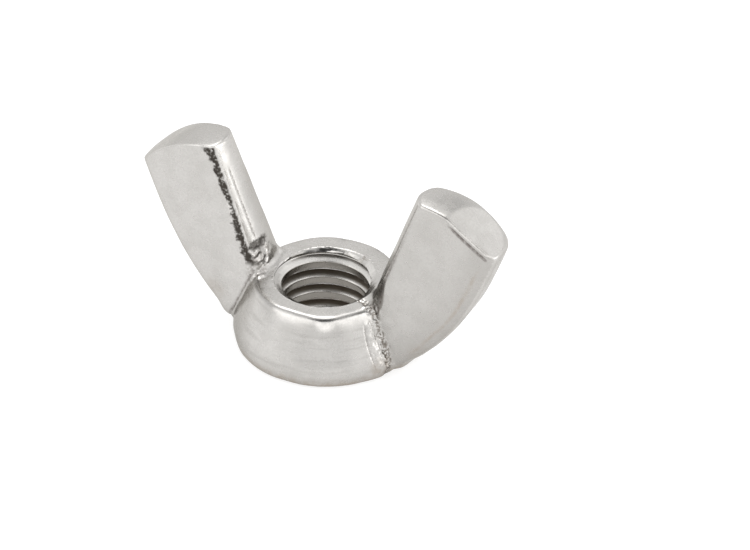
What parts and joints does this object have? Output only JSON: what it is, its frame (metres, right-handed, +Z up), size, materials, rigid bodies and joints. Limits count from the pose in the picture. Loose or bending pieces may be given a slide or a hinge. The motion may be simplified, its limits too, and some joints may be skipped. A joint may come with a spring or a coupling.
{
  "type": "wing nut",
  "caption": "Wing nut: conical hub with a coarse tapped bore and flared upright wings, tightened and loosened by hand.",
  "frame": {"origin": "on the thread axis at the bearing face, which is the lowest point of the nut", "axes": "+Z up along the thread axis from the bearing face to the wing tips, +X along the wings, +Y through the wings' thickness"},
  "size_m": [0.0296, 0.0142, 0.0156],
  "materials": {
    "plated_steel": "bright plating over a rumbled steel forging, satin on the broad faces and polished on the edges"
  },
  "bodies": {
    "root": {"wing_nut": "plated_steel"}
  },
  "joints": []
}
